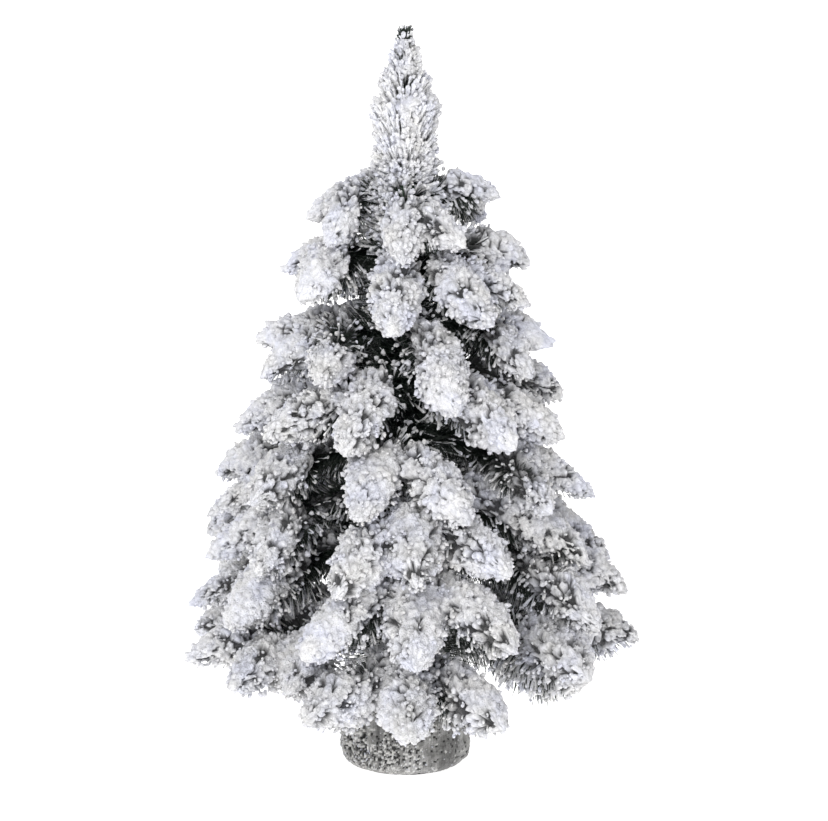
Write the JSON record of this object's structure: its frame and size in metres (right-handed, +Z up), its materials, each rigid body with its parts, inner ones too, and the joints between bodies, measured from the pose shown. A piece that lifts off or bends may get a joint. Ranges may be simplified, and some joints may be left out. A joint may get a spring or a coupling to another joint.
{
  "type": "artificial tabletop tree",
  "caption": "Small snow-flocked artificial conifer: separate bendable wire branches in tiers on a pole, over a squat cloth-wrapped weighted base.",
  "frame": {"origin": "centre of the foot pad, on the plane the tree stands on", "axes": "+Z up along the trunk, -Y to the front, +X to the right as seen from the front"},
  "size_m": [0.3769, 0.3726, 0.6],
  "materials": {
    "flocked_foliage": "matte",
    "burlap": "matte",
    "felt": "matte",
    "cement": "matte",
    "pole": "satin",
    "binding_tape": "matte"
  },
  "bodies": {
    "base_and_trunk": {"foot_pad": "felt", "base_wrap": "burlap", "base_weight": "cement", "trunk_pole": "pole", "tier1_binding": "binding_tape", "tier2_binding": "binding_tape", "tier3_binding": "binding_tape", "tier4_binding": "binding_tape", "tier5_binding": "binding_tape", "tier6_binding": "binding_tape", "tier7_binding": "binding_tape", "tier8_binding": "binding_tape"},
    "tier1_branch1": {"tier1_branch1": "flocked_foliage"},
    "tier1_branch2": {"tier1_branch2": "flocked_foliage"},
    "tier1_branch3": {"tier1_branch3": "flocked_foliage"},
    "tier1_branch4": {"tier1_branch4": "flocked_foliage"},
    "tier1_branch5": {"tier1_branch5": "flocked_foliage"},
    "tier1_branch6": {"tier1_branch6": "flocked_foliage"},
    "tier2_branch1": {"tier2_branch1": "flocked_foliage"},
    "tier2_branch2": {"tier2_branch2": "flocked_foliage"},
    "tier2_branch3": {"tier2_branch3": "flocked_foliage"},
    "tier2_branch4": {"tier2_branch4": "flocked_foliage"},
    "tier2_branch5": {"tier2_branch5": "flocked_foliage"},
    "tier2_branch6": {"tier2_branch6": "flocked_foliage"},
    "tier3_branch1": {"tier3_branch1": "flocked_foliage"},
    "tier3_branch2": {"tier3_branch2": "flocked_foliage"},
    "tier3_branch3": {"tier3_branch3": "flocked_foliage"},
    "tier3_branch4": {"tier3_branch4": "flocked_foliage"},
    "tier3_branch5": {"tier3_branch5": "flocked_foliage"},
    "tier3_branch6": {"tier3_branch6": "flocked_foliage"},
    "tier4_branch1": {"tier4_branch1": "flocked_foliage"},
    "tier4_branch2": {"tier4_branch2": "flocked_foliage"},
    "tier4_branch3": {"tier4_branch3": "flocked_foliage"},
    "tier4_branch4": {"tier4_branch4": "flocked_foliage"},
    "tier4_branch5": {"tier4_branch5": "flocked_foliage"},
    "tier5_branch1": {"tier5_branch1": "flocked_foliage"},
    "tier5_branch2": {"tier5_branch2": "flocked_foliage"},
    "tier5_branch3": {"tier5_branch3": "flocked_foliage"},
    "tier5_branch4": {"tier5_branch4": "flocked_foliage"},
    "tier5_branch5": {"tier5_branch5": "flocked_foliage"},
    "tier5_branch6": {"tier5_branch6": "flocked_foliage"},
    "tier6_branch1": {"tier6_branch1": "flocked_foliage"},
    "tier6_branch2": {"tier6_branch2": "flocked_foliage"},
    "tier6_branch3": {"tier6_branch3": "flocked_foliage"},
    "tier6_branch4": {"tier6_branch4": "flocked_foliage"},
    "tier6_branch5": {"tier6_branch5": "flocked_foliage"},
    "tier7_branch1": {"tier7_branch1": "flocked_foliage"},
    "tier7_branch2": {"tier7_branch2": "flocked_foliage"},
    "tier7_branch3": {"tier7_branch3": "flocked_foliage"},
    "tier7_branch4": {"tier7_branch4": "flocked_foliage"},
    "tier7_branch5": {"tier7_branch5": "flocked_foliage"},
    "tier8_branch1": {"tier8_branch1": "flocked_foliage"},
    "tier8_branch2": {"tier8_branch2": "flocked_foliage"},
    "tier8_branch3": {"tier8_branch3": "flocked_foliage"},
    "tier8_branch4": {"tier8_branch4": "flocked_foliage"},
    "tier8_branch5": {"tier8_branch5": "flocked_foliage"},
    "leader": {"leader": "flocked_foliage"}
  },
  "joints": [
    {"name": "tier1_branch1_bend", "type": "hinge", "parent": "base_and_trunk", "child": "tier1_branch1", "pos_m": [0.00017, -0.0095, 0.10801], "axis": [-0.9998, -0.0175, 0], "range_deg": [-15, 10]},
    {"name": "tier1_branch2_bend", "type": "hinge", "parent": "base_and_trunk", "child": "tier1_branch2", "pos_m": [0.00948, 0.00066, 0.11701], "axis": [0.0698, -0.9976, 0], "range_deg": [-15, 10]},
    {"name": "tier1_branch3_bend", "type": "hinge", "parent": "base_and_trunk", "child": "tier1_branch3", "pos_m": [0.0066, 0.00683, 0.11248], "axis": [0.7193, -0.6947, 0], "range_deg": [-15, 14]},
    {"name": "tier1_branch4_bend", "type": "hinge", "parent": "base_and_trunk", "child": "tier1_branch4", "pos_m": [-0.00033, 0.00949, 0.10801], "axis": [0.9994, 0.0349, 0], "range_deg": [-15, 15]},
    {"name": "tier1_branch5_bend", "type": "hinge", "parent": "base_and_trunk", "child": "tier1_branch5", "pos_m": [-0.00717, 0.00623, 0.1141], "axis": [0.6561, 0.7547, 0], "range_deg": [-15, 17]},
    {"name": "tier1_branch6_bend", "type": "hinge", "parent": "base_and_trunk", "child": "tier1_branch6", "pos_m": [-0.00918, -0.00246, 0.11701], "axis": [-0.2588, 0.9659, 0], "range_deg": [-15, 11]},
    {"name": "tier2_branch1_bend", "type": "hinge", "parent": "base_and_trunk", "child": "tier2_branch1", "pos_m": [0.0005, -0.00949, 0.18013], "axis": [-0.9986, -0.0523, 0], "range_deg": [-10, 8]},
    {"name": "tier2_branch2_bend", "type": "hinge", "parent": "base_and_trunk", "child": "tier2_branch2", "pos_m": [0.00943, -0.00116, 0.18913], "axis": [-0.1219, -0.9925, 0], "range_deg": [-6, 5]},
    {"name": "tier2_branch3_bend", "type": "hinge", "parent": "base_and_trunk", "child": "tier2_branch3", "pos_m": [0.00797, 0.00517, 0.18727], "axis": [0.5446, -0.8387, 0], "range_deg": [-10, 7]},
    {"name": "tier2_branch4_bend", "type": "hinge", "parent": "base_and_trunk", "child": "tier2_branch4", "pos_m": [-0.00246, 0.00918, 0.18013], "axis": [0.9659, 0.2588, 0], "range_deg": [-11, 10]},
    {"name": "tier2_branch5_bend", "type": "hinge", "parent": "base_and_trunk", "child": "tier2_branch5", "pos_m": [-0.00854, 0.00417, 0.18907], "axis": [0.4384, 0.8988, 0], "range_deg": [-12, 10]},
    {"name": "tier2_branch6_bend", "type": "hinge", "parent": "base_and_trunk", "child": "tier2_branch6", "pos_m": [-0.00948, -0.00066, 0.18307], "axis": [-0.0698, 0.9976, 0], "range_deg": [-10, 14]},
    {"name": "tier3_branch1_bend", "type": "hinge", "parent": "base_and_trunk", "child": "tier3_branch1", "pos_m": [0.0005, -0.00949, 0.22958], "axis": [-0.9986, -0.0523, 0], "range_deg": [-7, 6]},
    {"name": "tier3_branch2_bend", "type": "hinge", "parent": "base_and_trunk", "child": "tier3_branch2", "pos_m": [0.00874, -0.00371, 0.22683], "axis": [-0.3907, -0.9205, 0], "range_deg": [-4, 12]},
    {"name": "tier3_branch3_bend", "type": "hinge", "parent": "base_and_trunk", "child": "tier3_branch3", "pos_m": [0.00797, 0.00517, 0.23282], "axis": [0.5446, -0.8387, 0], "range_deg": [-6, 9]},
    {"name": "tier3_branch4_bend", "type": "hinge", "parent": "base_and_trunk", "child": "tier3_branch4", "pos_m": [-0.00165, 0.00936, 0.22933], "axis": [0.9848, 0.1736, 0], "range_deg": [-8, 10]},
    {"name": "tier3_branch5_bend", "type": "hinge", "parent": "base_and_trunk", "child": "tier3_branch5", "pos_m": [-0.00788, 0.00531, 0.23432], "axis": [0.5592, 0.829, 0], "range_deg": [-9, 9]},
    {"name": "tier3_branch6_bend", "type": "hinge", "parent": "base_and_trunk", "child": "tier3_branch6", "pos_m": [-0.00922, -0.0023, 0.22906], "axis": [-0.2419, 0.9703, 0], "range_deg": [-11, 3]},
    {"name": "tier4_branch1_bend", "type": "hinge", "parent": "base_and_trunk", "child": "tier4_branch1", "pos_m": [-0.0023, -0.00922, 0.2712], "axis": [-0.9703, 0.2419, 0], "range_deg": [-6, 11]},
    {"name": "tier4_branch2_bend", "type": "hinge", "parent": "base_and_trunk", "child": "tier4_branch2", "pos_m": [0.00945, -0.00099, 0.27043], "axis": [-0.1045, -0.9945, 0], "range_deg": [-13, 15]},
    {"name": "tier4_branch3_bend", "type": "hinge", "parent": "base_and_trunk", "child": "tier4_branch3", "pos_m": [0.00788, 0.00531, 0.27519], "axis": [0.5592, -0.829, 0], "range_deg": [-8, 10]},
    {"name": "tier4_branch4_bend", "type": "hinge", "parent": "base_and_trunk", "child": "tier4_branch4", "pos_m": [-0.00489, 0.00814, 0.27395], "axis": [0.8572, 0.515, 0], "range_deg": [-8, 10]},
    {"name": "tier4_branch5_bend", "type": "hinge", "parent": "base_and_trunk", "child": "tier4_branch5", "pos_m": [-0.00938, -0.00149, 0.26619], "axis": [-0.1564, 0.9877, 0], "range_deg": [-3, 12]},
    {"name": "tier5_branch1_bend", "type": "hinge", "parent": "base_and_trunk", "child": "tier5_branch1", "pos_m": [-0.00325, -0.00893, 0.31794], "axis": [-0.9397, 0.342, 0], "range_deg": [-10, 17]},
    {"name": "tier5_branch2_bend", "type": "hinge", "parent": "base_and_trunk", "child": "tier5_branch2", "pos_m": [0.00598, -0.00738, 0.31794], "axis": [-0.7771, -0.6293, 0], "range_deg": [-12, 14]},
    {"name": "tier5_branch3_bend", "type": "hinge", "parent": "base_and_trunk", "child": "tier5_branch3", "pos_m": [0.00932, 0.00181, 0.32602], "axis": [0.1908, -0.9816, 0], "range_deg": [-10, 13]},
    {"name": "tier5_branch4_bend", "type": "hinge", "parent": "base_and_trunk", "child": "tier5_branch4", "pos_m": [-0.00066, 0.00948, 0.31794], "axis": [0.9976, 0.0698, 0], "range_deg": [-8, 12]},
    {"name": "tier5_branch5_bend", "type": "hinge", "parent": "base_and_trunk", "child": "tier5_branch5", "pos_m": [-0.00797, 0.00517, 0.32394], "axis": [0.5446, 0.8387, 0], "range_deg": [-11, 17]},
    {"name": "tier5_branch6_bend", "type": "hinge", "parent": "base_and_trunk", "child": "tier5_branch6", "pos_m": [-0.00949, 0.00033, 0.31702], "axis": [0.0349, 0.9994, 0], "range_deg": [-15, 20]},
    {"name": "tier6_branch1_bend", "type": "hinge", "parent": "base_and_trunk", "child": "tier6_branch1", "pos_m": [0.00309, -0.00898, 0.35796], "axis": [-0.9455, -0.3256, 0], "range_deg": [-14, 20]},
    {"name": "tier6_branch2_bend", "type": "hinge", "parent": "base_and_trunk", "child": "tier6_branch2", "pos_m": [0.00949, -0.00033, 0.36696], "axis": [-0.0349, -0.9994, 0], "range_deg": [-12, 15]},
    {"name": "tier6_branch3_bend", "type": "hinge", "parent": "base_and_trunk", "child": "tier6_branch3", "pos_m": [0.00759, 0.00572, 0.36646], "axis": [0.6018, -0.7986, 0], "range_deg": [-10, 17]},
    {"name": "tier6_branch4_bend", "type": "hinge", "parent": "base_and_trunk", "child": "tier6_branch4", "pos_m": [-0.00636, 0.00706, 0.36421], "axis": [0.7431, 0.6691, 0], "range_deg": [-14, 17]},
    {"name": "tier6_branch5_bend", "type": "hinge", "parent": "base_and_trunk", "child": "tier6_branch5", "pos_m": [-0.00903, -0.00294, 0.35921], "axis": [-0.309, 0.9511, 0], "range_deg": [-15, 20]},
    {"name": "tier7_branch1_bend", "type": "hinge", "parent": "base_and_trunk", "child": "tier7_branch1", "pos_m": [-0.00099, -0.00945, 0.41121], "axis": [-0.9945, 0.1045, 0], "range_deg": [-15, 14]},
    {"name": "tier7_branch2_bend", "type": "hinge", "parent": "base_and_trunk", "child": "tier7_branch2", "pos_m": [0.00611, -0.00728, 0.41121], "axis": [-0.766, -0.6428, 0], "range_deg": [-12, 20]},
    {"name": "tier7_branch3_bend", "type": "hinge", "parent": "base_and_trunk", "child": "tier7_branch3", "pos_m": [0.00932, 0.00181, 0.42021], "axis": [0.1908, -0.9816, 0], "range_deg": [-15, 20]},
    {"name": "tier7_branch4_bend", "type": "hinge", "parent": "base_and_trunk", "child": "tier7_branch4", "pos_m": [-0.00402, 0.00861, 0.41356], "axis": [0.9063, 0.4226, 0], "range_deg": [-14, 20]},
    {"name": "tier7_branch5_bend", "type": "hinge", "parent": "base_and_trunk", "child": "tier7_branch5", "pos_m": [-0.0095, 0.00017, 0.42021], "axis": [0.0175, 0.9998, 0], "range_deg": [-15, 17]},
    {"name": "tier8_branch1_bend", "type": "hinge", "parent": "base_and_trunk", "child": "tier8_branch1", "pos_m": [-0.00017, -0.0095, 0.46076], "axis": [-0.9998, 0.0175, 0], "range_deg": [-11, 20]},
    {"name": "tier8_branch2_bend", "type": "hinge", "parent": "base_and_trunk", "child": "tier8_branch2", "pos_m": [0.00949, -0.0005, 0.46975], "axis": [-0.0523, -0.9986, 0], "range_deg": [-15, 20]},
    {"name": "tier8_branch3_bend", "type": "hinge", "parent": "base_and_trunk", "child": "tier8_branch3", "pos_m": [-0.00246, 0.00918, 0.46275], "axis": [0.9659, 0.2588, 0], "range_deg": [-15, 20]},
    {"name": "tier8_branch4_bend", "type": "hinge", "parent": "base_and_trunk", "child": "tier8_branch4", "pos_m": [-0.0095, 0, 0.46776], "axis": [0, 1, 0], "range_deg": [-15, 20]},
    {"name": "tier8_branch5_bend", "type": "hinge", "parent": "base_and_trunk", "child": "tier8_branch5", "pos_m": [-0.00738, 0.00598, 0.46876], "axis": [0.6293, 0.7771, 0], "range_deg": [-15, 20]},
    {"name": "leader_bend", "type": "hinge", "parent": "base_and_trunk", "child": "leader", "pos_m": [0, 0, 0.476], "axis": [1, 0, 0], "range_deg": [-15, 15]}
  ]
}
